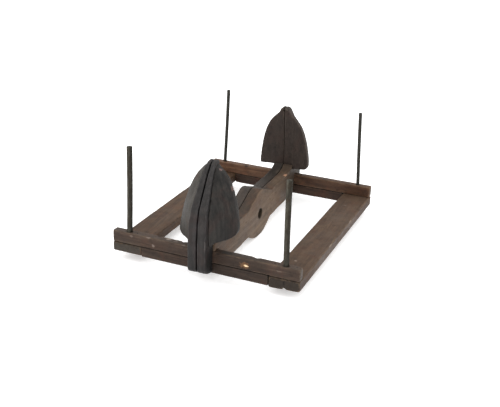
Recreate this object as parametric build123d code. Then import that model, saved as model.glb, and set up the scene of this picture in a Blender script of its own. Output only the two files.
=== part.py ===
from build123d import *
import math
import os

os.makedirs("parts", exist_ok=True)

# Small wooden table loom: an open frame of two flat side boards under two
# cross rails, four upright metal rods, and a double centre beam that straddles
# both rails.  Each half of the beam is a bar on edge with a lens-shaped hub at
# mid length, a prow-shaped post outside each rail and a leaf-shaped wing on
# the inner side of each post.
#
# Frame: +Z up, +Y from the near rail to the far rail, +X to the right.
# Origin: centre of the plan, at the level of the undersides of the two hubs.

# ---- driving dimensions, mm -------------------------------------------------
FRAME_W = 300.0          # length of the cross rails
FRAME_L = 356.0          # over the outer faces of the cross rails
UNDER = 15.0             # undersides of the beam bars above the undersides of the hubs
Z_RAIL = 29.7            # tops of the side boards, undersides of the top rails
LOW_L = 14.2             # underside of the left board
LOW_R = (11.0, 13.2)     # underside of the right board at its inner and outer edge
BOARD_WL = 48.2          # left board width
BOARD_WR = 47.8          # right board width
RAIL_D = 12.8            # rail depth along Y
RAIL_H = 18.7            # top rail height
LATH_H = 16.5            # lower lath height, flush with the top of the boards
EDGE = 0.9               # worn edge radius on boards and rails

ROD_R_NEAR = 4.35
ROD_R_FAR = 3.0
ROD_CLEAR = 0.08         # radial running clearance in the rod sockets
ROD_NECK = 0.25          # the foot of each rod is this much slimmer in radius
ROD_SHOULDER = 1.2       # height above the rail where the full radius starts
ROD_X = {"near_left": -123.6, "far_left": -126.0, "near_right": 126.2, "far_right": 126.4}
ROD_Y = FRAME_L / 2 - RAIL_D / 2
ROD_SEAT = UNDER + 6.7   # bottom of a rod socket, inside the side board
ROD_TOP_L = 182.6
ROD_TOP_R = 176.0
ROD_LEAN = {"near_left": 3.0, "far_left": 4.2, "near_right": -1.0, "far_right": -5.6}

SEAM = 0.4               # gap between the two half beams
BAR_T = 17.0             # thickness of each half bar
BAR_TOP = UNDER + 47.0
HUB_TOP = 79.0
HUB_HALF = 48.0          # half length of the hub along Y
BORE_R = 8.25
BORE_Z = 38.5
SIDE_GAP = 0.8           # beam to rail, each side of the rail
BEAM_TURN = 1.3          # degrees about Z: the loose beam rests slightly askew
BEAM_SHIFT = -1.3        # and a little left of the middle
RIDE_GAP = 0.3           # beam to top of rail

POST_IN = 0.7            # half of the open slit between the two posts
POST_OUT = 14.3
WING_T = 10.0
WING_S0 = 14.1           # wing outer face inward of the rail's outer face, at Z 60
WING_LEAN = 0.0963

YO = FRAME_L / 2         # outer face of the rails
Z_TOP = Z_RAIL + RAIL_H


def block(x0, x1, y0, y1, z0, z1):
    return Pos((x0 + x1) / 2, (y0 + y1) / 2, (z0 + z1) / 2) * Box(x1 - x0, y1 - y0, z1 - z0)


def eased(solid, r=EDGE):
    return fillet(solid.edges(), r)


def rod_axis(name):
    left = name.endswith("left")
    x = ROD_X[name]
    y = -ROD_Y if name.startswith("near") else ROD_Y
    top = ROD_TOP_L if left else ROD_TOP_R
    run = top - Z_TOP
    lean = ROD_LEAN[name]
    length = math.hypot(run, lean)
    d = (lean / length, 0.0, run / length)
    return (x, y), top, d


def rod_solid(name, radius, z0, z1):
    (x, y), top, d = rod_axis(name)
    t0 = (z0 - Z_TOP) / d[2]
    t1 = (z1 - Z_TOP) / d[2]
    start = (x + d[0] * t0, y, Z_TOP + d[2] * t0)
    plane = Plane(origin=start, z_dir=d)
    return plane * Cylinder(radius, t1 - t0, align=(Align.CENTER, Align.CENTER, Align.MIN))


RODS = {}
for rod_name in ("near_left", "near_right", "far_left", "far_right"):
    RODS[rod_name] = ROD_R_NEAR if rod_name.startswith("near") else ROD_R_FAR


def drill(solid, names):
    for n in names:
        solid = solid - rod_solid(n, RODS[n] - ROD_NECK + ROD_CLEAR, ROD_SEAT, Z_TOP + 10)
    return solid


# ---- frame ------------------------------------------------------------------
left_board = eased(block(-FRAME_W / 2, -FRAME_W / 2 + BOARD_WL, -YO, YO, LOW_L, Z_RAIL))
left_board = drill(left_board, ["near_left", "far_left"])

# the right board is a little thicker along its inner edge
with BuildSketch(Plane.XZ) as board_sk:
    with BuildLine():
        Polyline((FRAME_W / 2 - BOARD_WR, LOW_R[0]), (FRAME_W / 2, LOW_R[1]), (FRAME_W / 2, Z_RAIL),
                 (FRAME_W / 2 - BOARD_WR, Z_RAIL), close=True)
    make_face()
right_board = eased(extrude(board_sk.sketch, YO, both=True))
right_board = drill(right_board, ["near_right", "far_right"])
# small nick in the underside of the right board's near end
right_board = right_board - block(124.2, 128.4, -YO - 2, -YO + 11, 10.0, 15.4)

near_rail = eased(block(-FRAME_W / 2, FRAME_W / 2, -YO, -YO + RAIL_D, Z_RAIL, Z_TOP))
near_rail = drill(near_rail, ["near_left", "near_right"])
far_rail = eased(block(-FRAME_W / 2, FRAME_W / 2, YO - RAIL_D, YO, Z_RAIL, Z_TOP))
far_rail = drill(far_rail, ["far_left", "far_right"])

# shallow nicks in the inner top edges of the rails
for nx, nw in ((-75.0, 3.2), (-36.0, 2.6), (79.7, 3.4)):
    near_rail = near_rail - block(nx - nw / 2, nx + nw / 2, -YO + RAIL_D - 1.6, -YO + RAIL_D + 1, Z_TOP - 1.8, Z_TOP + 1)
far_rail = far_rail - block(-83.0, -79.8, YO - RAIL_D - 1, YO - RAIL_D + 1.6, Z_TOP - 1.6, Z_TOP + 1)

lath_x0 = -FRAME_W / 2 + BOARD_WL
lath_x1 = FRAME_W / 2 - BOARD_WR
near_lath = eased(block(lath_x0, lath_x1, -YO + 0.4, -YO + RAIL_D, Z_RAIL - LATH_H, Z_RAIL), 0.7)
far_lath = eased(block(lath_x0, lath_x1, YO - RAIL_D, YO - 0.4, Z_RAIL - LATH_H, Z_RAIL), 0.7)

# cut nails that hold each rail down: two into each board end
NAIL_R = 1.1
NAIL_XY = []
for sx in (-1, 1):
    for sy in (-1, 1):
        for off in (8.0, 40.0):
            NAIL_XY.append((sx * (FRAME_W / 2 - off), sy * (YO - RAIL_D / 2 - (0.9 if off < 20 else -1.0))))


def nail(x, y, grow=0.0):
    shank = Pos(x, y, Z_TOP - 26.0 - grow) * Cylinder(NAIL_R + grow, 26.0 + grow - 0.2, align=(Align.CENTER, Align.CENTER, Align.MIN))
    return shank


for (nx, ny) in NAIL_XY:
    cutter = Pos(nx, ny, Z_TOP - 26.0) * Cylinder(NAIL_R, 40.0, align=(Align.CENTER, Align.CENTER, Align.MIN))
    if ny < 0:
        near_rail = near_rail - cutter
    else:
        far_rail = far_rail - cutter
    if nx < 0:
        left_board = left_board - cutter
    else:
        right_board = right_board - cutter
rail_nails = Compound(children=[nail(x, y) for (x, y) in NAIL_XY])

# brass pin driven into the face of the near rail
PIN_X, PIN_Z, PIN_R = 67.7, Z_RAIL + 7.7, 1.3
pin_cut = Pos(PIN_X, -YO - 2, PIN_Z) * Rot(-90, 0, 0) * Cylinder(PIN_R, 12.0, align=(Align.CENTER, Align.CENTER, Align.MIN))
near_rail = near_rail - pin_cut
brass_pin = Pos(PIN_X, -YO + 0.1, PIN_Z) * Rot(-90, 0, 0) * Cylinder(PIN_R, 9.9, align=(Align.CENTER, Align.CENTER, Align.MIN))

# ---- centre beam ------------------------------------------------------------
# Side profiles are drawn for the near end as (s, z), with s measured inward
# from the rail's outer face, and mirrored for the far end.


def near_y(s):
    return -YO + s


bar_near = [
    (-SIDE_GAP, BAR_TOP),
    (24.3, BAR_TOP),
    (25.3, BAR_TOP + 9.0),
    (28.0, BAR_TOP + 8.3),
    (35.0, BAR_TOP + 4.6),
    (45.0, BAR_TOP + 1.7),
    (60.0, BAR_TOP),
]
bar_under = [
    (-SIDE_GAP, Z_TOP + RIDE_GAP),
    (RAIL_D + SIDE_GAP, Z_TOP + RIDE_GAP),
    (RAIL_D + SIDE_GAP, UNDER + 0.3),
]


def bar_profile():
    up_near = [(near_y(s), z) for s, z in bar_near]
    up_far = [(-y, z) for y, z in reversed(up_near)]
    dn_near = [(near_y(s), z) for s, z in bar_under]
    dn_far = [(-y, z) for y, z in reversed(dn_near)]
    with BuildSketch(Plane.YZ) as sk:
        with BuildLine():
            Polyline(*[(y, z) for y, z in dn_near[::-1]], *[(y, z) for y, z in up_near])
            Line((up_near[-1][0], up_near[-1][1]), (-HUB_HALF - 2, BAR_TOP))
            Spline((-HUB_HALF - 2, BAR_TOP), (-36.0, 66.9), (-20.0, 73.2), (-8.0, 77.7), (0.0, HUB_TOP),
                   (8.0, 77.7), (20.0, 73.2), (36.0, 66.9), (HUB_HALF + 2, BAR_TOP))
            Line((HUB_HALF + 2, BAR_TOP), up_far[0])
            Polyline(*up_far, *dn_far[::-1])
            Line(dn_far[0], (HUB_HALF - 1, UNDER + 0.3))
            Spline((HUB_HALF - 1, UNDER + 0.3), (34.0, 8.0), (20.0, 2.4), (8.0, 0.35), (0.0, 0.0),
                   (-8.0, 0.35), (-20.0, 2.4), (-34.0, 8.0), (-HUB_HALF + 1, UNDER + 0.3))
            Line((-HUB_HALF + 1, UNDER + 0.3), dn_near[-1])
        make_face()
    return sk.sketch


bar_face = bar_profile()
right_bar = extrude(Pos(SEAM / 2, 0, 0) * bar_face, BAR_T)
bore = Pos(-5, 0, BORE_Z) * Rot(0, 90, 0) * Cylinder(BORE_R, 40, align=(Align.CENTER, Align.CENTER, Align.MIN))
right_bar = right_bar - bore
left_bar = mirror(right_bar, Plane.YZ)


def wing_s(z):
    return WING_S0 + WING_LEAN * (z - 60.0)


WING_TOP = 170.0
POST_TAPER = [(POST_OUT, 10.0), (POST_OUT, 78.0), (13.6, 100.0), (11.8, 128.0), (9.6, 150.0), (7.4, 168.0), (6.2, 180.0)]

# outer profile of the posts up to the shoulder, then the knob at the tip, which
# is longer on the far pair than on the near pair
POST_LOW = [
    (-SIDE_GAP, UNDER + 0.6), (-3.6, UNDER + 0.6), (-10.5, 17.2), (-18.8, 20.4), (-24.5, 23.2), (-27.0, 26.6),
    (-27.2, 40.5), (-27.9, 59.7), (-27.3, 75.0), (-25.3, 97.2), (-19.9, 117.0), (-12.4, 130.2),
    (-4.3, 142.9), (4.8, 156.6), (12.3, 166.4),
]
KNOB_NEAR = [(18.0, 172.6), (22.5, 175.0), (28.0, 176.2), (32.5, 176.0), (35.5, 174.2), (36.4, 171.6), (36.2, WING_TOP)]
KNOB_FAR = [(18.6, 172.6), (23.0, 174.6), (28.5, 175.3), (34.0, 175.1), (38.0, 174.0), (39.2, 172.2), (38.4, WING_TOP)]


def line(points, v, at, get):
    """Piecewise linear value: points are pairs, at and get pick the key and the value."""
    if v <= points[0][at]:
        return points[0][get]
    for p, q in zip(points, points[1:]):
        if v <= q[at]:
            return p[get] + (q[get] - p[get]) * (v - p[at]) / (q[at] - p[at])
    return points[-1][get]


# the knobs of the far posts are rounded off on their outer sides
FAR_ROUND = [(7.4, 166.0), (7.0, 169.4), (6.0, 172.0), (4.4, 173.8), (2.4, 175.0), (0.9, 175.6)]


def post_solid(knob, crown=()):
    outline = POST_LOW + knob + [(wing_s(WING_TOP), WING_TOP), (wing_s(BAR_TOP), BAR_TOP), (-SIDE_GAP, BAR_TOP)]
    with BuildSketch(Plane.YZ) as sk:
        with BuildLine():
            Polyline(*[(near_y(s), z) for s, z in outline], close=True)
        make_face()
    body = extrude(Pos(POST_IN, 0, 0) * sk.sketch, POST_OUT - POST_IN)
    # the outer side tapers towards the tip
    with BuildSketch(Plane.XZ) as tp:
        with BuildLine():
            Polyline(*[q for q in POST_TAPER if not crown or q[1] < crown[0][1]], *crown, (40, 180), (40, 10), close=True)
        make_face()
    return body - extrude(tp.sketch, 400, both=True)


# Half outlines of the wings (x, z), from the bottom near the bar round the
# outer edge to the tip.
ROOT = BAR_T + SEAM
WING_NEAR_RIGHT = [
    (ROOT, 66.2), (25.0, 66.8), (32.0, 67.8), (38.0, 69.8), (42.0, 73.0), (44.2, 77.5), (44.8, 82.0), (43.8, 93.0),
    (41.2, 108.0), (37.2, 121.5), (33.2, 133.3), (27.8, 146.6), (23.0, 154.8), (16.9, 160.6), (11.4, 165.2), (7.0, WING_TOP),
]
WING_NEAR_LEFT = [
    (ROOT, 63.8), (25.0, 63.0), (33.0, 61.7), (40.0, 60.8), (44.2, 61.4), (46.8, 64.8), (47.1, 69.0), (45.6, 81.0),
    (43.2, 96.0), (40.4, 110.0), (36.8, 122.0), (33.2, 134.0), (27.7, 147.0), (21.4, 157.2), (15.0, 164.6),
    (11.4, 168.8), (7.2, WING_TOP),
]
WING_FAR_LEFT = [
    (ROOT, 67.2), (30.0, 66.2), (44.5, 65.4), (44.5, 70.0), (44.0, 76.0), (42.4, 89.0), (39.6, 106.7), (36.6, 121.4),
    (32.6, 134.2), (27.6, 145.2), (21.4, 153.8), (14.4, 160.8), (9.6, 165.4), (7.6, WING_TOP),
]
WING_FAR_RIGHT = [
    (ROOT, 62.6), (30.0, 62.8), (38.6, 63.8), (42.2, 66.8), (43.9, 71.6), (44.0, 80.0), (43.0, 91.0), (41.0, 104.5),
    (38.5, 116.7), (34.6, 130.0), (30.2, 140.4), (24.4, 148.5), (18.4, 155.7), (12.4, 162.3), (7.8, WING_TOP),
]

# A wing is flat on its inner side.  Its outer side slopes back from just
# behind the ridge of the post to the thin outer edge, like a ploughshare.
# Each entry: Z, how far behind the ridge the slope starts.
SLOPE_START = [(50.0, 13.0), (62.0, 11.0), (78.0, 8.0), (90.0, 6.8), (100.0, 6.0), (112.0, 5.3), (120.0, 4.8),
               (128.0, 4.2), (140.0, 3.5), (150.0, 3.0), (160.0, 2.7), (168.0, 2.5), (174.0, 2.5)]


def wing_body(outer):
    edge = [(x, z) for x, z in outer if z > 76]
    sections = []
    for z, back in SLOPE_START:
        side = line(POST_TAPER, z, 1, 0)
        front = min(line(POST_LOW[6:] + [(21.0, 176.0)], z, 1, 0) + back, wing_s(z) - 0.4)
        tip = max(line(edge, z, 1, 0), side + 0.6)
        s0, s1 = wing_s(z), wing_s(z) + WING_T
        pts = [(SEAM / 2, s0), (side, s0), (side, front), (tip, s0), (60.0, s0), (60.0, s1), (SEAM / 2, s1)]
        wire = Wire.make_polygon([Vector(x, near_y(s), z) for x, s in pts], close=True)
        sections.append(wire)
    return Solid.make_loft(sections, True)


def wing_solid(outline):
    pts = [(SEAM / 2, BAR_TOP), (ROOT, BAR_TOP)] + outline + [(SEAM / 2, WING_TOP)]
    with BuildSketch(Plane.XZ) as sk:
        with BuildLine():
            Polyline(*pts, close=True)
        make_face()
    plate = extrude(sk.sketch, 400, both=True)
    return plate & wing_body(outline)


near_right_wing = wing_solid(WING_NEAR_RIGHT)
near_left_wing = mirror(wing_solid(WING_NEAR_LEFT), Plane.YZ)
far_right_wing = mirror(wing_solid(WING_FAR_RIGHT), Plane.XZ)
far_left_wing = mirror(mirror(wing_solid(WING_FAR_LEFT), Plane.XZ), Plane.YZ)

near_right_post = post_solid(KNOB_NEAR)
near_left_post = mirror(near_right_post, Plane.YZ)
far_right_post = mirror(post_solid(KNOB_FAR, FAR_ROUND), Plane.XZ)
far_left_post = mirror(far_right_post, Plane.YZ)


def seated(shape):
    """The loose beam rests a little askew on the rails."""
    return Pos(BEAM_SHIFT, 0, 0) * Rot(0, 0, BEAM_TURN) * shape


left_bar, right_bar = seated(left_bar), seated(right_bar)
near_left_post, near_right_post = seated(near_left_post), seated(near_right_post)
far_left_post, far_right_post = seated(far_left_post), seated(far_right_post)
near_left_wing, near_right_wing = seated(near_left_wing), seated(near_right_wing)
far_left_wing, far_right_wing = seated(far_left_wing), seated(far_right_wing)

# ---- rods -------------------------------------------------------------------
rods = {}
for rod_name, r in RODS.items():
    top = ROD_TOP_L if rod_name.endswith("left") else ROD_TOP_R
    foot = rod_solid(rod_name, r - ROD_NECK, ROD_SEAT + 0.4, Z_TOP + ROD_SHOULDER + 0.5)
    shank = rod_solid(rod_name, r, Z_TOP + ROD_SHOULDER, top)
    shank = chamfer(shank.edges().filter_by(GeomType.CIRCLE).sort_by(Axis.Z)[-1], 0.35)
    rods[rod_name] = foot + shank

# ---- export -----------------------------------------------------------------
NODES = {
    "side_board_left": left_board,
    "side_board_right": right_board,
    "near_top_rail": near_rail,
    "far_top_rail": far_rail,
    "near_lower_lath": near_lath,
    "far_lower_lath": far_lath,
    "rail_nails": rail_nails,
    "brass_pin": brass_pin,
    "near_left_rod": rods["near_left"],
    "near_right_rod": rods["near_right"],
    "far_left_rod": rods["far_left"],
    "far_right_rod": rods["far_right"],
    "beam_bar_left": left_bar,
    "beam_bar_right": right_bar,
    "near_left_post": near_left_post,
    "near_right_post": near_right_post,
    "far_left_post": far_left_post,
    "far_right_post": far_right_post,
    "near_left_wing": near_left_wing,
    "near_right_wing": near_right_wing,
    "far_left_wing": far_left_wing,
    "far_right_wing": far_right_wing,
}

for node, shape in NODES.items():
    export_step(shape, "parts/" + node + ".step")
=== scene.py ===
import math

import bmesh
import bpy
import numpy as np
from mathutils import Matrix, Vector


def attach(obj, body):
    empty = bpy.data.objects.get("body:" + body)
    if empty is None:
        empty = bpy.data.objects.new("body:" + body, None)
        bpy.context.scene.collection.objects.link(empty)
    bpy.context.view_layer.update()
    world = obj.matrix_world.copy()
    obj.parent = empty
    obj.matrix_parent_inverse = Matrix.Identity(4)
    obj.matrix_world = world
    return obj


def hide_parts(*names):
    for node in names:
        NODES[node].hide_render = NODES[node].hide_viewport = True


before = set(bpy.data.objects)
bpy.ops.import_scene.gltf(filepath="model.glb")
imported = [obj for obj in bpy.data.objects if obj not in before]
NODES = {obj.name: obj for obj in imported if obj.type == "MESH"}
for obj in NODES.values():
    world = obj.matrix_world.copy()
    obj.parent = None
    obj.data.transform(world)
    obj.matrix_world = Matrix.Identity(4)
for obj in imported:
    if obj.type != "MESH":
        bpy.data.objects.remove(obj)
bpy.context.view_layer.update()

scene = bpy.context.scene

# ---------------------------------------------------------------- numeric helpers


def gradient_noise(p, seed):
    """Smooth 3-D gradient noise, about -0.7 to 0.7, for an array of points."""
    rng = np.random.default_rng(seed)
    perm = rng.permutation(256)
    grad = rng.normal(size=(256, 3))
    grad /= np.linalg.norm(grad, axis=1)[:, None]
    cell = np.floor(p).astype(np.int64)
    f = p - cell
    u = f * f * f * (f * (f * 6 - 15) + 10)
    total = np.zeros(len(p))
    for dx in (0, 1):
        wx = u[:, 0] if dx else 1 - u[:, 0]
        hx = perm[(cell[:, 0] + dx) & 255]
        for dy in (0, 1):
            wy = u[:, 1] if dy else 1 - u[:, 1]
            hy = perm[(hx + cell[:, 1] + dy) & 255]
            for dz in (0, 1):
                wz = u[:, 2] if dz else 1 - u[:, 2]
                g = grad[perm[(hy + cell[:, 2] + dz) & 255]]
                d = (f[:, 0] - dx) * g[:, 0] + (f[:, 1] - dy) * g[:, 1] + (f[:, 2] - dz) * g[:, 2]
                total += wx * wy * wz * d
    return total


def smooth(co, edges, times, factor=0.5):
    """Plain Laplacian smoothing of vertex positions."""
    n = len(co)
    a, b = edges[:, 0], edges[:, 1]
    degree = np.bincount(a, minlength=n) + np.bincount(b, minlength=n)
    degree = np.maximum(degree, 1)
    out = co.copy()
    for _ in range(times):
        mean = np.empty_like(out)
        for k in range(3):
            mean[:, k] = (np.bincount(a, out[b, k], n) + np.bincount(b, out[a, k], n)) / degree
        out += factor * (mean - out)
    return out


def spread(values, edges, times):
    n = len(values)
    a, b = edges[:, 0], edges[:, 1]
    degree = np.maximum(np.bincount(a, minlength=n) + np.bincount(b, minlength=n), 1)
    out = values.copy()
    for _ in range(times):
        out = 0.5 * out + 0.5 * (np.bincount(a, out[b], n) + np.bincount(b, out[a], n)) / degree
    return out


def arrays(me):
    co = np.empty(len(me.vertices) * 3, np.float64)
    me.vertices.foreach_get("co", co)
    ed = np.empty(len(me.edges) * 2, np.int64)
    me.edges.foreach_get("vertices", ed)
    no = np.empty(len(me.vertices) * 3, np.float64)
    me.vertices.foreach_get("normal", no)
    return co.reshape(-1, 3), ed.reshape(-1, 2), no.reshape(-1, 3)


def put(me, co):
    me.vertices.foreach_set("co", np.asarray(co, np.float64).ravel())
    me.update()


def float_layer(me, name, values):
    layer = me.attributes.get(name) or me.attributes.new(name, "FLOAT", "POINT")
    layer.data.foreach_set("value", np.asarray(values, np.float32))


def smoothstep(x, lo, hi):
    t = np.clip((x - lo) / (hi - lo), 0, 1)
    return t * t * (3 - 2 * t)


def remeshed(node, voxel):
    """A closed, even quad skin of a CAD node, as a new mesh."""
    me = NODES[node].data.copy()
    bm = bmesh.new()
    bm.from_mesh(me)
    bmesh.ops.remove_doubles(bm, verts=bm.verts, dist=1e-6)
    bm.to_mesh(me)
    bm.free()
    o = bpy.data.objects.new("tmp_" + node, me)
    scene.collection.objects.link(o)
    m = o.modifiers.new("skin", "REMESH")
    m.mode = "VOXEL"
    m.voxel_size = voxel
    m.adaptivity = 0.0
    bpy.context.view_layer.update()
    out = bpy.data.meshes.new_from_object(o.evaluated_get(bpy.context.evaluated_depsgraph_get()))
    bpy.data.objects.remove(o)
    return out


def carve(node, voxel, body, grain, seed, round_steps=2, wander=0.00018, chips=0.5, marks=(), bores=(), ends=None):
    """Worn, hand-worked timber from a CAD node: uneven rounded edges, small chips and tool waviness.

    grain is the axis (0, 1, 2) that the fibres run along.  Displacement is only ever inwards, so that
    the piece stays inside its CAD solid.  marks are dents and bare spots, with a few painted shade and highlight
    patches: (centre, half sizes, depth, colour, strength).  bores are holes whose inner walls get painted shade:
    (centre, axis, radius).
    ends = (axis, low, high): beyond these the corners are rounded off more."""
    me = remeshed(node, voxel)
    co, ed, no = arrays(me)
    base = smooth(co, ed, 1)
    soft = smooth(co, ed, round_steps)
    softer = smooth(co, ed, round_steps * 3)
    me_no = no
    edge = np.einsum("ij,ij->i", co - smooth(co, ed, 10), me_no) / voxel
    stretch = np.array([1.0, 1.0, 1.0])
    stretch[grain] = 0.35
    n1 = gradient_noise(co * stretch * 55 + seed, seed + 1)
    n2 = gradient_noise(co * stretch * 190 + seed * 2, seed + 2)
    n3 = gradient_noise(co * 520 + seed * 3, seed + 3)
    mix = np.clip(0.45 + 1.5 * n1 + 0.6 * n2, 0, 1)[:, None]
    new = soft * (1 - mix) + softer * mix
    if ends is not None:
        k = co[:, ends[0]]
        past = smoothstep(-k, -ends[1], -ends[1] + 0.003) + smoothstep(k, ends[2], ends[2] + 0.003)
        new = new * (1 - past[:, None]) + smooth(co, ed, 18) * past[:, None]
    # chips and dents on convex edges
    e = smoothstep(edge, 0.12, 0.42)
    hit = smoothstep(gradient_noise(co * stretch * 130 + 7.7 + seed, seed + 4) + 0.35 * n3, 0.26, 0.5)
    cut = chips * 0.0016 * e * hit
    # broad waviness from hand planing plus fine ridges along the fibres
    fibre = np.array([900.0, 900.0, 900.0])
    fibre[grain] = 26.0
    ridge = gradient_noise(co * fibre + seed, seed + 5)
    broad = gradient_noise(co * stretch * 34 + 3 * seed, seed + 6)
    wave = wander * (0.5 + broad * 0.9) + 0.00006 * (0.6 + ridge)
    # a few long shallow dents on faces
    dent = smoothstep(gradient_noise(co * stretch * 75 + 11 + seed, seed + 8), 0.42, 0.62) * 0.00035
    new = new - me_no * (cut + np.clip(wave, 0, None) + dent)[:, None]
    colour = np.zeros((len(co), 4))
    colour[:, 3] = 1
    amount = np.zeros(len(co))
    for centre, half, depth, tint, strength in marks:
        d = np.linalg.norm((co - np.array(centre)) / np.array(half), axis=1)
        d += 0.7 * gradient_noise(co * 420 + seed, seed + 9)
        w = 1 - smoothstep(d, 0.55, 1.15)
        new = new - me_no * (depth * w)[:, None]
        take = w * strength
        better = take > amount
        colour[better, :3] = tint[:3]
        amount = np.maximum(amount, take)
    # painted shade on the inner walls of each bore
    for centre, axis, radius in bores:
        axis = np.array(axis) / np.linalg.norm(axis)
        rel = co - np.array(centre)
        rad = rel - (rel @ axis)[:, None] * axis
        r = np.maximum(np.linalg.norm(rad, axis=1), 1e-9)
        inward = -np.einsum("ij,ij->i", me_no, rad) / r
        take = smoothstep(inward, 0.15, 0.6) * (r < radius * 1.2) * 0.95
        better = take > amount
        colour[better, :3] = BORE_SHADE[:3]
        amount = np.maximum(amount, take)
    layer = me.attributes.new("mark_colour", "FLOAT_COLOR", "POINT")
    layer.data.foreach_set("color", colour.astype(np.float32).ravel())
    float_layer(me, "mark", amount)
    put(me, new)
    float_layer(me, "edge", np.clip(spread(smoothstep(edge, 0.08, 0.4), ed, 1), 0, 1))
    float_layer(me, "chip", np.clip(spread(np.clip(cut / 0.0006 + dent / 0.0006, 0, 1), ed, 1), 0, 1))
    me.polygons.foreach_set("use_smooth", [True] * len(me.polygons))
    o = bpy.data.objects.new(node + "_worn", me)
    scene.collection.objects.link(o)
    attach(o, body)
    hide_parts(node)
    return o


# ---------------------------------------------------------------- material helpers


def srgb(r, g, b):
    def lin(v):
        v /= 255.0
        return v / 12.92 if v <= 0.04045 else ((v + 0.055) / 1.055) ** 2.4
    return (lin(r), lin(g), lin(b), 1.0)


class Graph:
    def __init__(self, name):
        self.mat = bpy.data.materials.new(name)
        self.mat.use_nodes = True
        self.nt = self.mat.node_tree
        self.nt.nodes.clear()
        self.out = self.nt.nodes.new("ShaderNodeOutputMaterial")
        self.bsdf = self.nt.nodes.new("ShaderNodeBsdfPrincipled")
        self.nt.links.new(self.bsdf.outputs[0], self.out.inputs[0])
        self.coord = self.nt.nodes.new("ShaderNodeTexCoord").outputs["Object"]

    def set(self, socket, value):
        if hasattr(value, "is_linked") or isinstance(value, bpy.types.NodeSocket):
            self.nt.links.new(value, socket)
        else:
            socket.default_value = value

    def mapping(self, vec, scale=(1, 1, 1), loc=(0, 0, 0), rot=(0, 0, 0)):
        n = self.nt.nodes.new("ShaderNodeMapping")
        self.set(n.inputs["Vector"], vec)
        n.inputs["Scale"].default_value = scale
        n.inputs["Location"].default_value = loc
        n.inputs["Rotation"].default_value = rot
        return n.outputs[0]

    def noise(self, vec, scale, detail=3.0, rough=0.55, distortion=0.0, colour=False):
        n = self.nt.nodes.new("ShaderNodeTexNoise")
        self.set(n.inputs["Vector"], vec)
        n.inputs["Scale"].default_value = scale
        n.inputs["Detail"].default_value = detail
        n.inputs["Roughness"].default_value = rough
        n.inputs["Distortion"].default_value = distortion
        return n.outputs["Color" if colour else "Fac"]

    def voronoi(self, vec, scale, feature="F1", rand=1.0):
        n = self.nt.nodes.new("ShaderNodeTexVoronoi")
        n.feature = feature
        self.set(n.inputs["Vector"], vec)
        n.inputs["Scale"].default_value = scale
        n.inputs["Randomness"].default_value = rand
        return n.outputs["Distance"]

    def wave(self, vec, scale, distortion, detail=2.0, dscale=1.0, kind="RINGS", direction="Z"):
        n = self.nt.nodes.new("ShaderNodeTexWave")
        n.wave_type = kind
        if kind == "RINGS":
            n.rings_direction = direction
        else:
            n.bands_direction = direction
        self.set(n.inputs["Vector"], vec)
        n.inputs["Scale"].default_value = scale
        n.inputs["Distortion"].default_value = distortion
        n.inputs["Detail"].default_value = detail
        n.inputs["Detail Scale"].default_value = dscale
        return n.outputs["Fac"]

    def ramp(self, fac, stops, interp="LINEAR"):
        n = self.nt.nodes.new("ShaderNodeValToRGB")
        n.color_ramp.interpolation = interp
        el = n.color_ramp.elements
        while len(el) < len(stops):
            el.new(0.5)
        for e, (pos, col) in zip(el, stops):
            e.position = pos
            e.color = col if len(col) == 4 else (*col, 1)
        self.set(n.inputs[0], fac)
        return n.outputs[0]

    def range(self, v, a, b, c=0.0, d=1.0, clamp=True):
        n = self.nt.nodes.new("ShaderNodeMapRange")
        n.clamp = clamp
        self.set(n.inputs[0], v)
        for i, x in enumerate((a, b, c, d)):
            n.inputs[i + 1].default_value = x
        return n.outputs[0]

    def math(self, op, a, b=None, c=None):
        n = self.nt.nodes.new("ShaderNodeMath")
        n.operation = op
        self.set(n.inputs[0], a)
        if b is not None:
            self.set(n.inputs[1], b)
        if c is not None:
            self.set(n.inputs[2], c)
        return n.outputs[0]

    def vmath(self, op, a, b=None):
        n = self.nt.nodes.new("ShaderNodeVectorMath")
        n.operation = op
        self.set(n.inputs[0], a)
        if b is not None:
            self.set(n.inputs[1], b)
        return n.outputs["Value"] if op in ("DOT_PRODUCT", "LENGTH") else n.outputs[0]

    def mix(self, fac, a, b, mode="MIX"):
        n = self.nt.nodes.new("ShaderNodeMix")
        n.data_type = "RGBA"
        n.blend_type = mode
        self.set(n.inputs[0], fac)
        self.set(n.inputs[6], a)
        self.set(n.inputs[7], b)
        return n.outputs[2]

    def attribute(self, name):
        n = self.nt.nodes.new("ShaderNodeAttribute")
        n.attribute_name = name
        return n.outputs["Fac"]

    def attribute_colour(self, name):
        n = self.nt.nodes.new("ShaderNodeAttribute")
        n.attribute_name = name
        return n.outputs["Color"]

    def grey(self, value):
        n = self.nt.nodes.new("ShaderNodeCombineXYZ")
        for i in range(3):
            self.set(n.inputs[i], value)
        return n.outputs[0]

    def normal(self):
        return self.nt.nodes.new("ShaderNodeNewGeometry").outputs["Normal"]

    def separate(self, vec):
        n = self.nt.nodes.new("ShaderNodeSeparateXYZ")
        self.set(n.inputs[0], vec)
        return n.outputs

    def bump(self, height, distance, strength=1.0, normal=None):
        n = self.nt.nodes.new("ShaderNodeBump")
        n.inputs["Strength"].default_value = strength
        n.inputs["Distance"].default_value = distance
        self.set(n.inputs["Height"], height)
        if normal is not None:
            self.nt.links.new(normal, n.inputs["Normal"])
        return n.outputs[0]


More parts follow.
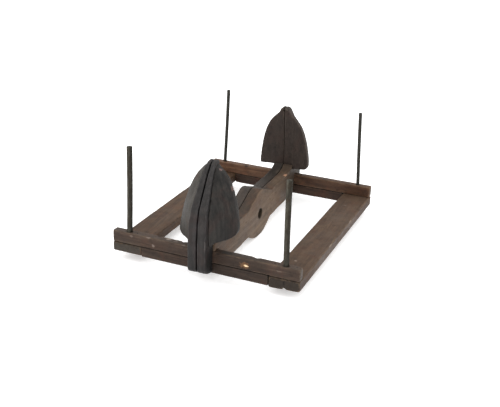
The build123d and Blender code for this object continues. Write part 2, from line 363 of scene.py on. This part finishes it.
def wood(name, grain, dark, mid, light, worn, seed=0.0, ring=170.0, gloss=(0.42, 0.68), patch=None, patch_amount=0.35,
         end=None, wear=0.6, fibre_contrast=0.30, spec=0.2, gain=(1, 1, 1), dust=None, dust_amount=0.0, blot_range=(0.80, 1.2), faces=(1.0, 1.0, 1.0),
         shadow=None, top=None, seams=(), outer=None):
    """Procedural timber. grain is the fibre axis 0, 1 or 2, colours are linear RGBA."""
    g = Graph(name)
    along = [1.0, 1.0, 1.0]
    along[grain] = 0.07
    loc = (0.13 * seed + 0.31, 0.37 * seed - 0.2, 0.23 * seed + 0.11)
    # gentle wander of the fibres
    warp = g.noise(g.mapping(g.coord, scale=tuple(1.0 if i != grain else 0.45 for i in range(3)), loc=loc), 14.0, 2.0, 0.5, 0, True)
    warp = g.vmath("SUBTRACT", warp, (0.5, 0.5, 0.5))
    warp = g.vmath("MULTIPLY", warp, tuple(0.012 if i != grain else 0.0 for i in range(3)))
    vec = g.vmath("ADD", g.coord, warp)
    fib = g.mapping(vec, scale=tuple(along), loc=loc)
    rings = g.noise(fib, ring, 2.0, 0.5, 0.6)
    rings = g.range(rings, 0.30, 0.70)
    fine = g.noise(fib, 950.0, 3.0, 0.6, 0.1)
    fine = g.range(fine, 0.28, 0.72)
    mid_f = g.noise(fib, 420.0, 2.0, 0.55, 0.2)
    mid_f = g.range(mid_f, 0.3, 0.7)
    pore_map = [1.0, 1.0, 1.0]
    pore_map[grain] = 0.045
    pores = g.noise(g.mapping(vec, scale=tuple(pore_map), loc=loc), 1500.0, 1.0, 0.5, 0.0)
    pores = g.range(pores, 0.63, 0.72)
    tone = g.math("MULTIPLY_ADD", rings, 0.55, g.math("MULTIPLY_ADD", mid_f, 0.28, g.math("MULTIPLY", fine, 0.17)))
    tone = g.math("MULTIPLY_ADD", g.math("SUBTRACT", tone, 0.5), fibre_contrast * 2.0, 0.5)
    colour = g.ramp(tone, [(0.12, dark), (0.5, mid), (0.9, light)])
    # broad patina
    blot = g.noise(g.mapping(g.coord, scale=tuple(1.0 if i != grain else 0.4 for i in range(3)), loc=loc), 32.0, 4.0, 0.6, 0.4)
    shade = g.range(blot, 0.3, 0.7, blot_range[0], blot_range[1])
    n = g.separate(g.normal())
    # painted shade and light by which way a surface faces: front, right and top faces are multiplied by faces[0],
    # faces[1] and faces[2]
    front = g.range(n[1], -0.85, -0.4, faces[0] - 1.0, 0.0)
    right_side = g.range(n[0], 0.4, 0.85, 0.0, faces[1] - 1.0)
    top_side = g.range(n[2], 0.5, 0.9, 0.0, faces[2] - 1.0)
    side_light = g.math("ADD", g.math("ADD", front, right_side), g.math("ADD", top_side, 1.0))
    shade = g.math("MULTIPLY", shade, side_light)
    pos = g.separate(g.coord)
    # painted shade and light on up-facing surfaces only, changing along one axis
    if top is not None:
        axis, start, stop, low, high = top
        change = g.range(pos[axis], start, stop, low - 1.0, high - 1.0)
        up_mask = g.range(n[2], 0.5, 0.9)
        shade = g.math("MULTIPLY", shade, g.math("MULTIPLY_ADD", change, up_mask, 1.0))
    # painted shade along one axis: levels below 1 darken, levels above 1 paint light
    for axis, start, stop, level in (shadow or ()):
        shade = g.math("MULTIPLY", shade, g.range(pos[axis], start, stop, 1.0, level))
    colour = g.mix(1.0, colour, g.grey(shade), "MULTIPLY")
    if patch is not None:
        spot = g.noise(g.mapping(g.coord, loc=(loc[1], loc[2], loc[0])), 26.0, 3.0, 0.6, 0.8)
        spot = g.range(spot, 0.52, 0.68, 0.0, patch_amount)
        colour = g.mix(spot, colour, patch)
    colour = g.mix(g.math("MULTIPLY", pores, 0.55), colour, dark)
    # end grain
    facing = g.math("ABSOLUTE", n[grain])
    facing = g.range(facing, 0.75, 0.93)
    if end is not None:
        sc = [1.0, 1.0, 1.0]
        sc[grain] = 0.0
        ends = g.noise(g.mapping(g.coord, scale=tuple(sc), loc=loc), 620.0, 4.0, 0.7, 1.2)
        ends = g.ramp(ends, [(0.3, dark), (0.62, end)])
        colour = g.mix(g.math("MULTIPLY", facing, 0.8), colour, ends)
    # worn edges and chips
    edge = g.attribute("edge")
    brk = g.noise(g.mapping(g.coord, scale=tuple(1.0 if i != grain else 0.3 for i in range(3))), 240.0, 4.0, 0.65)
    brk = g.range(brk, 0.38, 0.64)
    rub = g.math("MULTIPLY", edge, g.math("MULTIPLY", brk, wear))
    colour = g.mix(rub, colour, worn)
    chip = g.attribute("chip")
    grime = g.noise(g.coord, 90.0, 4.0, 0.7)
    grime = g.range(grime, 0.5, 0.75, 0.0, 0.55)
    colour = g.mix(grime, colour, tuple(0.45 * c for c in dark[:3]) + (1.0,))
    colour = g.mix(g.math("MULTIPLY", chip, 0.55), colour, worn)
    # dark specks and small stains
    speck = g.voronoi(g.mapping(g.coord, loc=loc), 150.0)
    speck = g.range(speck, 0.05, 0.11, 0.7, 0.0)
    colour = g.mix(speck, colour, tuple(0.35 * c for c in dark[:3]) + (1.0,))
    if dust is not None:
        up = g.range(n[2], 0.35, 0.95)
        dn = g.noise(g.coord, 60.0, 5.0, 0.7)
        dn = g.range(dn, 0.35, 0.7, 0.2, 1.0)
        colour = g.mix(g.math("MULTIPLY", g.math("MULTIPLY", up, dn), dust_amount), colour, dust)
    colour = g.mix(1.0, colour, (gain[0], gain[1], gain[2], 1.0), "MULTIPLY")
    if outer is not None:
        # painted shade: the top and the other sides stay darker and greyer, while left-facing sides are multiplied by
        # outer to a lighter, warmer tone
        mask = g.range(n[0], -0.85, -0.45, 1.0, 0.0)
        colour = g.mix(mask, colour, g.mix(1.0, colour, (*outer, 1.0), "MULTIPLY"))
    # painted shade along joints: (plane normal, offset, reach, inner, level[, only faces along this axis])
    for normal, offset, reach, inner, level, *only in seams:
        off = g.math("ABSOLUTE", g.math("SUBTRACT", g.vmath("DOT_PRODUCT", g.coord, normal), offset))
        ragged = g.noise(g.coord, 260.0, 3.0, 0.6)
        off = g.math("MULTIPLY_ADD", g.math("SUBTRACT", ragged, 0.5), -reach * 1.2, off)
        amount = g.range(off, reach, inner, 1.0, level)
        if only:
            turned = g.range(g.math("ABSOLUTE", n[only[0]]), 0.25, 0.6)
            amount = g.math("ADD", g.math("MULTIPLY", g.math("SUBTRACT", amount, 1.0), turned), 1.0)
        colour = g.mix(1.0, colour, g.grey(amount), "MULTIPLY")
    colour = g.mix(g.attribute("mark"), colour, g.attribute_colour("mark_colour"))
    g.set(g.bsdf.inputs["Base Color"], colour)
    r = g.math("MULTIPLY_ADD", fine, 0.10, g.range(blot, 0.3, 0.7, gloss[0], gloss[1]))
    r = g.math("MULTIPLY_ADD", chip, 0.2, r)
    g.set(g.bsdf.inputs["Roughness"], r)
    g.bsdf.inputs["Specular IOR Level"].default_value = spec
    h = g.math("MULTIPLY_ADD", fine, 0.5, g.math("MULTIPLY", mid_f, 0.6))
    h = g.math("SUBTRACT", h, g.math("MULTIPLY", pores, 0.9))
    h = g.math("SUBTRACT", h, g.math("MULTIPLY", speck, 0.6))
    g.set(g.bsdf.inputs["Normal"], g.bump(h, 0.00022, 0.85))
    return g.mat


def metal(name, base, light, rust, seed, rough=(0.38, 0.62), metallic=0.75, along=0.15, spec=0.3, lit_sides=(1.0, 1.0)):
    g = Graph(name)
    loc = (seed, seed * 0.7, 0.2)
    run = g.mapping(g.coord, scale=(1.0, 1.0, along), loc=loc)
    a = g.noise(run, 420.0, 4.0, 0.65, 0.3)
    b = g.noise(g.mapping(g.coord, loc=loc), 120.0, 5.0, 0.7, 0.6)
    pit = g.noise(g.coord, 1400.0, 2.0, 0.6)
    colour = g.ramp(a, [(0.3, base), (0.68, light)])
    colour = g.mix(g.range(b, 0.5, 0.66, 0.0, 0.75), colour, rust)
    colour = g.mix(g.range(pit, 0.6, 0.7, 0.0, 0.5), colour, tuple(0.4 * c for c in base[:3]) + (1.0,))
    # painted light and shade: the left side of each rod is made lighter, the right side darker
    n = g.separate(g.normal())
    colour = g.mix(1.0, colour, g.grey(g.range(n[0], -0.6, 0.9, lit_sides[0], lit_sides[1])), "MULTIPLY")
    g.set(g.bsdf.inputs["Base Color"], colour)
    g.bsdf.inputs["Metallic"].default_value = metallic
    g.bsdf.inputs["Specular IOR Level"].default_value = spec
    g.set(g.bsdf.inputs["Roughness"], g.range(b, 0.3, 0.7, rough[0], rough[1]))
    h = g.math("MULTIPLY_ADD", pit, -0.6, g.math("MULTIPLY", a, 0.5))
    g.set(g.bsdf.inputs["Normal"], g.bump(h, 0.00018, 0.8))
    return g.mat


# ---------------------------------------------------------------- materials

RED = srgb(96, 52, 36)
# joint planes that get painted shade along them
RAIL_SEAM = ((0.0, 0.0, 1.0), 0.0297, 0.0016, 0.0004, 0.32)
BEAM_SEAM = ((0.99974, 0.02269, 0.0), -0.0013, 0.0014, 0.0005, 0.55)
BOARD_EDGE = ((1.0, 0.0, 0.0), 0.1022, 0.0030, 0.0006, 0.55)
BOARD_END = ((0.0, 0.0, 1.0), 0.0297, 0.0022, 0.0006, 0.30, 1)
LATH_END_R = ((1.0, 0.0, 0.0), 0.1022, 0.0016, 0.0005, 0.35)
LATH_END_L = ((1.0, 0.0, 0.0), -0.1018, 0.0014, 0.0005, 0.45)
END = srgb(72, 72, 70)
# the faces, top, shadow and outer arguments below paint shade and light into the timber colour
left_board_m = wood("left_board_wood", 1, srgb(46, 33, 26), srgb(80, 61, 49), srgb(108, 86, 70), srgb(138, 116, 98), seed=1.0,
                    patch=RED, patch_amount=0.25, end=END, dust=srgb(122, 104, 88), dust_amount=0.2, gain=(0.72, 0.69, 0.61),
                    shadow=((1, -0.080, -0.160, 0.86),), seams=(BOARD_END,), wear=0.45)
right_board_m = wood("right_board_wood", 1, srgb(50, 37, 30), srgb(88, 68, 56), srgb(116, 94, 78), srgb(148, 126, 106),
                     seed=4.0, patch=RED, patch_amount=0.25, end=srgb(46, 45, 42), dust=srgb(128, 110, 94), dust_amount=0.25, gain=(0.67, 0.65, 0.59), shadow=((1, -0.080, -0.160, 0.67), (1, 0.080, 0.150, 0.84)), fibre_contrast=0.24,
                     seams=(BOARD_EDGE, BOARD_END), wear=0.42)
near_rail_m = wood("near_rail_wood", 0, srgb(38, 27, 21), srgb(66, 49, 39), srgb(94, 74, 60), srgb(134, 112, 92), seed=2.0,
                   patch=RED, patch_amount=0.12, wear=0.32, shadow=((0, 0.018, 0.030, 0.68), (0, 0.098, 0.112, 1.55)), end=srgb(84, 72, 62), dust=srgb(106, 92, 82), dust_amount=0.3, gain=(0.87, 0.94, 0.98),
                   seams=(RAIL_SEAM,))
far_rail_m = wood("far_rail_wood", 0, srgb(38, 25, 19), srgb(68, 49, 39), srgb(90, 69, 55), srgb(126, 102, 84), seed=3.0,
                  patch=RED, patch_amount=0.25, wear=0.45, shadow=((0, 0.010, -0.020, 1.7),), end=srgb(84, 72, 62), dust=srgb(106, 92, 82), dust_amount=0.2, gain=(1.15, 1.08, 0.92),
                  seams=(RAIL_SEAM,))
near_lath_m = wood("near_lath_wood", 0, srgb(34, 24, 19), srgb(60, 45, 36), srgb(84, 66, 54), srgb(118, 98, 82), seed=5.0,
                   patch=RED, patch_amount=0.3, end=srgb(80, 70, 60), gain=(0.72, 0.76, 0.78), seams=(RAIL_SEAM, LATH_END_R, LATH_END_L), wear=0.4)
far_lath_m = wood("far_lath_wood", 0, srgb(30, 21, 16), srgb(54, 39, 31), srgb(76, 58, 47), srgb(110, 90, 74), seed=5.5,
                  patch=RED, patch_amount=0.3, end=srgb(80, 70, 60), gain=(0.95, 0.9, 0.85), seams=(RAIL_SEAM, LATH_END_R, LATH_END_L), wear=0.4)
right_bar_m = wood("right_bar_wood", 1, srgb(66, 53, 44), srgb(106, 90, 76), srgb(134, 116, 98), srgb(160, 140, 118), seed=6.0,
                   patch=srgb(112, 78, 58), patch_amount=0.3, end=srgb(96, 82, 68), ring=150.0,
                   faces=(0.85, 1.08, 0.55), shadow=((1, 0.060, 0.150, 0.33), (1, -0.050, -0.150, 0.80)), top=(1, 0.050, 0.105, 0.66, 2.0), gain=(0.78, 0.74, 0.70), wear=0.2,
                   fibre_contrast=0.24, seams=(BEAM_SEAM,))
left_bar_m = wood("left_bar_wood", 1, srgb(58, 48, 42), srgb(90, 77, 68), srgb(114, 99, 87), srgb(146, 126, 106), seed=7.0,
                  patch=srgb(100, 72, 56), patch_amount=0.3, end=srgb(92, 78, 66), ring=150.0,
                  faces=(0.85, 1.0, 0.85), shadow=((1, 0.060, 0.150, 0.56),), outer=(1.62, 1.42, 1.26), gain=(0.48, 0.53, 0.56), wear=0.2,
                  fibre_contrast=0.24, seams=(BEAM_SEAM,))
POST_DARK, POST_MID, POST_LIGHT = srgb(34, 33, 32), srgb(56, 53, 50), srgb(78, 73, 70)
near_post_m = wood("near_post_wood", 2, POST_DARK, POST_MID, POST_LIGHT, srgb(112, 106, 104), seed=8.0,
                   patch=srgb(72, 50, 42), patch_amount=0.3, end=srgb(72, 66, 58), wear=0.28, faces=(1.0, 0.50, 1.1), gain=(0.62, 0.63, 0.67),
                   shadow=((2, 0.100, 0.035, 0.76),))
far_post_m = wood("far_post_wood", 2, srgb(26, 23, 21), srgb(46, 40, 36), srgb(62, 55, 50), srgb(92, 82, 74), seed=8.5,
                  patch=srgb(60, 42, 34), patch_amount=0.3, end=srgb(66, 58, 52), wear=0.5, gain=(1.15, 1.15, 1.1))
# painted light and reflection: lighter than the near right wing's wood for the sheen this wing catches, with painted
# shade lower down
near_left_wing_m = wood("near_left_wing_wood", 2, srgb(44, 41, 37), srgb(74, 69, 63), srgb(98, 92, 84), srgb(116, 108, 98),
                        seed=9.0, patch=srgb(92, 66, 54), patch_amount=0.35, end=srgb(72, 64, 56), wear=0.22, gain=(0.55, 0.54, 0.53),
                        shadow=((2, 0.118, 0.070, 0.58),))
near_right_wing_m = wood("near_right_wing_wood", 2, srgb(28, 27, 26), srgb(48, 46, 44), srgb(66, 63, 59), srgb(98, 88, 82),
                         seed=10.0, patch=srgb(80, 50, 42), patch_amount=0.22, end=srgb(64, 56, 50), wear=0.18, fibre_contrast=0.42, blot_range=(0.88, 1.12),
                         gain=(0.62, 0.61, 0.60))
far_wing_m = wood("far_wing_wood", 2, srgb(34, 28, 26), srgb(56, 47, 43), srgb(74, 64, 58), srgb(98, 86, 78), seed=11.0,
                  patch=srgb(72, 50, 44), patch_amount=0.2, blot_range=(0.90, 1.08), fibre_contrast=0.17, end=srgb(66, 58, 52), wear=0.3, faces=(1.0, 1.5, 1.0), gain=(0.79, 0.79, 0.75))
rod_m = metal("rod_iron", srgb(42, 40, 34), srgb(78, 75, 67), srgb(54, 45, 36), 0.3, metallic=0.06, rough=(0.55, 0.8), spec=0.08, lit_sides=(1.25, 0.55))
rod_far_m = metal("rod_iron_far", srgb(40, 39, 35), srgb(66, 65, 60), srgb(46, 41, 35), 0.7, metallic=0.06, rough=(0.55, 0.8), spec=0.08, lit_sides=(1.15, 0.75))
nail_m = metal("nail_iron", srgb(38, 34, 31), srgb(64, 58, 53), srgb(76, 46, 34), 1.3, rough=(0.6, 0.85), metallic=0.5)
pin_m = metal("pin_brass", srgb(206, 168, 118), srgb(246, 224, 190), srgb(190, 140, 90), 2.1, rough=(0.25, 0.45), metallic=0.6)

# ---------------------------------------------------------------- worn timber

PALE = srgb(122, 109, 100)
CREAM = srgb(214, 190, 164)
ORANGE = srgb(120, 86, 58)
PEACH = srgb(166, 128, 102)
PINK = srgb(142, 116, 112)
DARK_SPOT = srgb(24, 18, 15)
BORE_SHADE = srgb(48, 40, 29)


def mm(*v):
    return tuple(x / 1000.0 for x in v)


NEAR_RAIL_MARKS = [
    (mm(-89, -178, 48), mm(4, 2, 2), 0.0005, PALE, 0.8),
    (mm(-81, -178, 36), mm(2.6, 2, 2.6), 0.0004, PALE, 0.75),
    (mm(-31, -178, 48), mm(3.5, 2, 1.8), 0.0004, PALE, 0.7),
    (mm(-59, -169.4, 48.4), mm(5, 3.5, 1.5), 0.0003, srgb(140, 127, 116), 0.7),
    (mm(-46, -172, 48.4), mm(4, 2.5, 1.5), 0.0003, PALE, 0.5),
    (mm(66.5, -178, 37.6), mm(8.5, 2.5, 5.0), 0.0002, ORANGE, 0.6),
    (mm(-118, -178, 44), mm(3, 2, 2), 0.0003, PALE, 0.4),
    (mm(24, -178, 46), mm(3, 2, 2), 0.0005, DARK_SPOT, 0.6),
    # painted shade: a dark patch on the rail top right of the post, in the recess by the bar
    (mm(35, -173.5, 48.4), mm(9, 4.5, 1.6), 0.0004, srgb(50, 46, 42), 0.75),
    (mm(118, -178, 40), mm(5, 2, 1.2), 0.0002, PALE, 0.35),
    (mm(-75, -166, 48.2), mm(4.5, 3, 2.5), 0.0009, DARK_SPOT, 0.95),
    (mm(-36, -166, 48.2), mm(3.6, 2.6, 2.2), 0.0007, DARK_SPOT, 0.9),
    (mm(79.7, -166, 48.2), mm(4.5, 2.8, 2.2), 0.0009, DARK_SPOT, 0.95),
]
FAR_RAIL_MARKS = [
    (mm(-81.4, 166, 48.2), mm(4, 3, 2.5), 0.0006, DARK_SPOT, 0.8),
    (mm(60, 165.2, 31), mm(6, 2, 2), 0.0005, srgb(104, 84, 70), 0.5),
    (mm(100, 165.2, 47), mm(8, 2, 1.6), 0.0004, srgb(104, 84, 70), 0.5),
]
BAR_MARKS_R = [
    (mm(11.0, 122.0, 62.0), mm(3.8, 5.5, 1.8), 0.0007, PEACH, 0.9),
    (mm(17.0, 118.0, 58.0), mm(2, 6, 3.5), 0.0003, srgb(150, 108, 80), 0.5),
    (mm(17.0, -60.0, 47.0), mm(2, 3, 2), 0.0004, srgb(60, 46, 36), 0.6),
    (mm(17.0, 24.0, 60.0), mm(2, 4, 1.2), 0.0003, srgb(60, 46, 36), 0.5),
]
BOARD_MARKS_R = [
    (mm(122, 116.7, 29.7), mm(2.2, 2.2, 1), 0.0003, srgb(120, 104, 92), 0.5),
    (mm(120.6, -116.2, 29.7), mm(2.2, 2.2, 1), 0.0003, srgb(150, 134, 120), 0.7),
    (mm(150, -40, 28), mm(2, 9, 2.5), 0.0008, srgb(140, 122, 104), 0.5),
    (mm(150, 60, 28), mm(2, 7, 2.5), 0.0008, srgb(140, 122, 104), 0.5),
    (mm(126, -178, 24), mm(1.0, 2, 6.0), 0.0011, DARK_SPOT, 0.9),
    (mm(110, 30, 29.7), mm(5, 20, 1), 0.0002, srgb(60, 44, 36), 0.45),
]
BOARD_MARKS_L = [
    (mm(-104, 20, 28.5), mm(2, 12, 3), 0.0010, srgb(58, 44, 36), 0.6),
    (mm(-128, -60, 29.7), mm(6, 14, 1), 0.0002, srgb(62, 46, 38), 0.45),
]
WING_MARKS_NR = [
    (mm(17.0, -151, 165.5), mm(3.8, 6, 2.6), 0.0010, PINK, 0.8),
    (mm(33, -150, 138), mm(3, 6, 5), 0.0006, srgb(112, 84, 76), 0.5),
]
# painted highlights along the near right post's right front edge, with shallow dents
POST_EDGE_HIGHLIGHTS_NR = [
    (mm(17.2, -203, 124), mm(1.6, 2.2, 7), 0.0004, srgb(132, 126, 128), 0.75),
    (mm(17.2, -206, 70), mm(1.6, 2.2, 9), 0.0003, srgb(96, 90, 88), 0.5),
]

HUB_BORE = ((-0.0013, 0.0, 0.0385), (0.99974, 0.02269, 0.0), 0.00825)

made = {}


def timber(node, body, voxel, grain, seed, mat, slot, **kw):
    o = carve(node, voxel, body, grain, seed, **kw)
    o.data.materials.clear()
    o.data.materials.append(mat)
    made[node] = o
    return o


timber("side_board_left", "frame", 0.0012, 1, 11, left_board_m, "frame_wood", ends=(1, -0.1755, 0.1755), marks=BOARD_MARKS_L)
timber("side_board_right", "frame", 0.0012, 1, 12, right_board_m, "frame_wood", ends=(1, -0.1755, 0.1755), marks=BOARD_MARKS_R)
timber("near_top_rail", "frame", 0.0009, 0, 13, near_rail_m, "frame_wood", ends=(0, -0.1475, 0.1475), chips=0.9, marks=NEAR_RAIL_MARKS)
timber("far_top_rail", "frame", 0.0009, 0, 14, far_rail_m, "frame_wood", ends=(0, -0.1475, 0.1475), chips=0.9, marks=FAR_RAIL_MARKS)
timber("near_lower_lath", "frame", 0.0009, 0, 15, near_lath_m, "frame_wood")
timber("far_lower_lath", "frame", 0.0009, 0, 16, far_lath_m, "frame_wood", chips=1.0)
timber("beam_bar_left", "left_half_beam", 0.0011, 1, 17, left_bar_m, "beam_wood", wander=0.00012, bores=(HUB_BORE,))
timber("beam_bar_right", "right_half_beam", 0.0011, 1, 18, right_bar_m, "beam_wood", wander=0.00012, marks=BAR_MARKS_R, bores=(HUB_BORE,))
for side, body in (("left", "left_half_beam"), ("right", "right_half_beam")):
    for k, end_name in enumerate(("near", "far")):
        timber(f"{end_name}_{side}_post", body, 0.0010, 2, 19 + k + (4 if side == "left" else 0),
               near_post_m if end_name == "near" else far_post_m, "dark_wood", round_steps=3, wander=0.0002,
               ends=(2, 0.0195, 0.3),
               marks=POST_EDGE_HIGHLIGHTS_NR if (end_name, side) == ("near", "right") else ())
        m = {"nearleft": near_left_wing_m, "nearright": near_right_wing_m}.get(end_name + side, far_wing_m)
        timber(f"{end_name}_{side}_wing", body, 0.0011, 2, 29 + k + (4 if side == "left" else 0), m, "dark_wood",
               round_steps=3, wander=0.0002, marks=WING_MARKS_NR if (end_name, side) == ("near", "right") else ())

# ---------------------------------------------------------------- rods, nails, pin


def round_bar(name, start, end, radius, seed, bend=0.0, rings=90, around=20, ragged=0.00025):
    """A forged rod: slightly uneven, slightly bent, with a rough cut top."""
    rng = np.random.default_rng(seed)
    start, end = Vector(start), Vector(end)
    axis = (end - start).normalized()
    u = axis.orthogonal().normalized()
    v = axis.cross(u)
    length = (end - start).length
    verts, faces = [], []
    phase = rng.uniform(0, 6.28)
    zs = [length * t for t in np.linspace(0, 1, rings)]
    zs = zs[:-1] + [length - radius * 0.25, length - radius * 0.08, length]
    shrink = [1.0] * (len(zs) - 3) + [0.99, 0.93, 0.80]
    pts = []
    for z, k in zip(zs, shrink):
        for i in range(around):
            a = 2 * math.pi * i / around
            pts.append((z, a, k))
    pts = np.array(pts)
    wob = gradient_noise(np.column_stack((pts[:, 0] * 120 + seed, np.cos(pts[:, 1]) * 1.3, np.sin(pts[:, 1]) * 1.3)), seed)
    pit = gradient_noise(np.column_stack((pts[:, 0] * 900 + seed, np.cos(pts[:, 1]) * 3.3, np.sin(pts[:, 1]) * 3.3)), seed + 1)
    for (z, a, k), w, q in zip(pts, wob, pit):
        rr = radius * k * (1 - 0.035 * (0.5 + w)) - 0.00012 * max(0.0, q)
        t = z / length
        off = bend * math.sin(math.pi * min(1.0, max(0.0, (t - 0.1) / 0.9))) if t > 0.1 else 0.0
        top = ragged * math.cos(a + phase) if z >= length - radius * 0.3 else 0.0
        p = start + axis * (z - abs(top) - (ragged if top > 0 else 0) * 0.0) + u * (math.cos(a) * rr + off) + v * (math.sin(a) * rr)
        verts.append(p)
    n = len(zs)
    for r in range(n - 1):
        for i in range(around):
            j = (i + 1) % around
            faces.append((r * around + i, r * around + j, (r + 1) * around + j, (r + 1) * around + i))
    faces.append(tuple(range(around))[::-1])
    faces.append(tuple((n - 1) * around + i for i in range(around)))
    me = bpy.data.meshes.new(name)
    me.from_pydata([tuple(p) for p in verts], [], faces)
    me.polygons.foreach_set("use_smooth", [len(f) == 4 for f in faces])
    me.update()
    o = bpy.data.objects.new(name, me)
    scene.collection.objects.link(o)
    return o


Z_TOP = 0.0484
RODS = {  # node: (x, y, lean at the top, top height, radius, bend, material)
    "near_left_rod": (-0.1236, -0.1716, 0.0030, 0.1826, 0.00435, 0.0004, rod_m),
    "near_right_rod": (0.1262, -0.1716, -0.0010, 0.1760, 0.00435, -0.0003, rod_m),
    "far_left_rod": (-0.1260, 0.1716, 0.0042, 0.1826, 0.0030, 0.0003, rod_far_m),
    "far_right_rod": (0.1264, 0.1716, -0.0056, 0.1760, 0.0030, -0.0002, rod_far_m),
}
for i, (node, (x, y, lean, top, r, bend, m)) in enumerate(RODS.items()):
    run = top - Z_TOP
    slope = lean / run
    foot_z = 0.0224
    foot = (x + slope * (foot_z - Z_TOP), y, foot_z)
    neck_z = Z_TOP + 0.0011
    neck = (x + slope * (neck_z - Z_TOP), y, neck_z)
    tip = (x + lean, y, top)
    a = round_bar(node + "_shank", neck, tip, r * 0.995, 40 + i, bend)
    b = round_bar(node + "_foot", foot, (x + slope * (neck_z + 0.001 - Z_TOP), y, neck_z + 0.001), r - 0.00027, 50 + i, 0.0, 12)
    for o in (a, b):
        o.data.materials.append(m)
        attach(o, node + "_body")
        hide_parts(node)
NODES["rail_nails"].data.materials.clear()
NODES["rail_nails"].data.materials.append(nail_m)

# the pin is a bent-over strip of brass, wider than it is high
plug = round_bar("brass_pin_worn", (0.0677, -0.1683, 0.0374), (0.0677, -0.17835, 0.0374), 0.0013, 61, 0.0, 10, 20, 0.0)
cap = bmesh.new()
bmesh.ops.create_uvsphere(cap, u_segments=32, v_segments=16, radius=1.0)
for vert in cap.verts:
    c = vert.co
    k = 1 + 0.12 * math.sin(5 * c.x + 2) + 0.08 * math.sin(9 * c.z + 1)
    vert.co = Vector((0.0681 + c.x * 0.0040 * k, -0.17795 + c.y * 0.0006, 0.0374 + c.z * 0.0016 * k - 0.0004 * c.x))
cap_me = bpy.data.meshes.new("brass_pin_cap")
cap.to_mesh(cap_me)
cap.free()
cap_me.polygons.foreach_set("use_smooth", [True] * len(cap_me.polygons))
cap_o = bpy.data.objects.new("brass_pin_cap", cap_me)
scene.collection.objects.link(cap_o)
for o in (plug, cap_o):
    o.data.materials.append(pin_m)
    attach(o, "frame")
    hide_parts("brass_pin")

# ---------------------------------------------------------------- floor, light, camera

bm = bmesh.new()
bmesh.ops.create_grid(bm, x_segments=1, y_segments=1, size=6.0)
me = bpy.data.meshes.new("floor")
bm.to_mesh(me)
bm.free()
floor = bpy.data.objects.new("floor", me)
scene.collection.objects.link(floor)
fm = bpy.data.materials.new("floor_pale")
fm.use_nodes = True
fm.node_tree.nodes["Principled BSDF"].inputs["Base Color"].default_value = (0.96, 0.96, 0.96, 1)
fm.node_tree.nodes["Principled BSDF"].inputs["Roughness"].default_value = 0.9
fm.node_tree.nodes["Principled BSDF"].inputs["Emission Color"].default_value = (1, 1, 1, 1)
fm.node_tree.nodes["Principled BSDF"].inputs["Emission Strength"].default_value = 0.42
fm.node_tree.nodes["Principled BSDF"].inputs["Specular IOR Level"].default_value = 0.1
me.materials.append(fm)

world = bpy.data.worlds.new("studio")
scene.world = world
world.use_nodes = True
world.node_tree.nodes["Background"].inputs[0].default_value = (1.0, 1.0, 1.0, 1)
world.node_tree.nodes["Background"].inputs[1].default_value = 0.95


def area(name, loc, target, size, power, colour=(1, 1, 1)):
    data = bpy.data.lights.new(name, "AREA")
    data.shape = "RECTANGLE"
    data.size, data.size_y = size
    data.energy = power
    data.color = colour
    o = bpy.data.objects.new(name, data)
    o.location = loc
    o.rotation_mode = "QUATERNION"
    o.rotation_quaternion = (Vector(target) - Vector(loc)).to_track_quat("-Z", "Y")
    scene.collection.objects.link(o)
    return o


area("key_left", (-1.4, -0.7, 1.3), (0, 0, 0.05), (1.4, 1.4), 14)
area("top", (-0.1, 0.2, 1.8), (0, 0, 0), (2.2, 2.2), 12)
area("right_fill", (1.5, -0.7, 1.0), (0, 0, 0.08), (1.6, 1.4), 8)

cam_data = bpy.data.cameras.new("camera")
cam_data.sensor_fit = "HORIZONTAL"
cam_data.sensor_width = 36.0
cam_data.lens = 859.7036 / 500.0 * 36.0
cam_data.clip_start, cam_data.clip_end = 0.05, 30.0
cam = bpy.data.objects.new("camera", cam_data)
scene.collection.objects.link(cam)
right = Vector((0.9178526, 0.3958124, 0.0296507))
down = Vector((0.1792755, -0.3467557, -0.9206632))
fwd = Vector((-0.3541284, 0.8503488, -0.3892301))
rot = Matrix((right, -down, -fwd)).transposed()
cam.matrix_world = Matrix.Translation((0.487406, -1.176613, 0.590706)) @ rot.to_4x4()
scene.camera = cam
scene.view_settings.view_transform = "Standard"
scene.view_settings.look = "None"
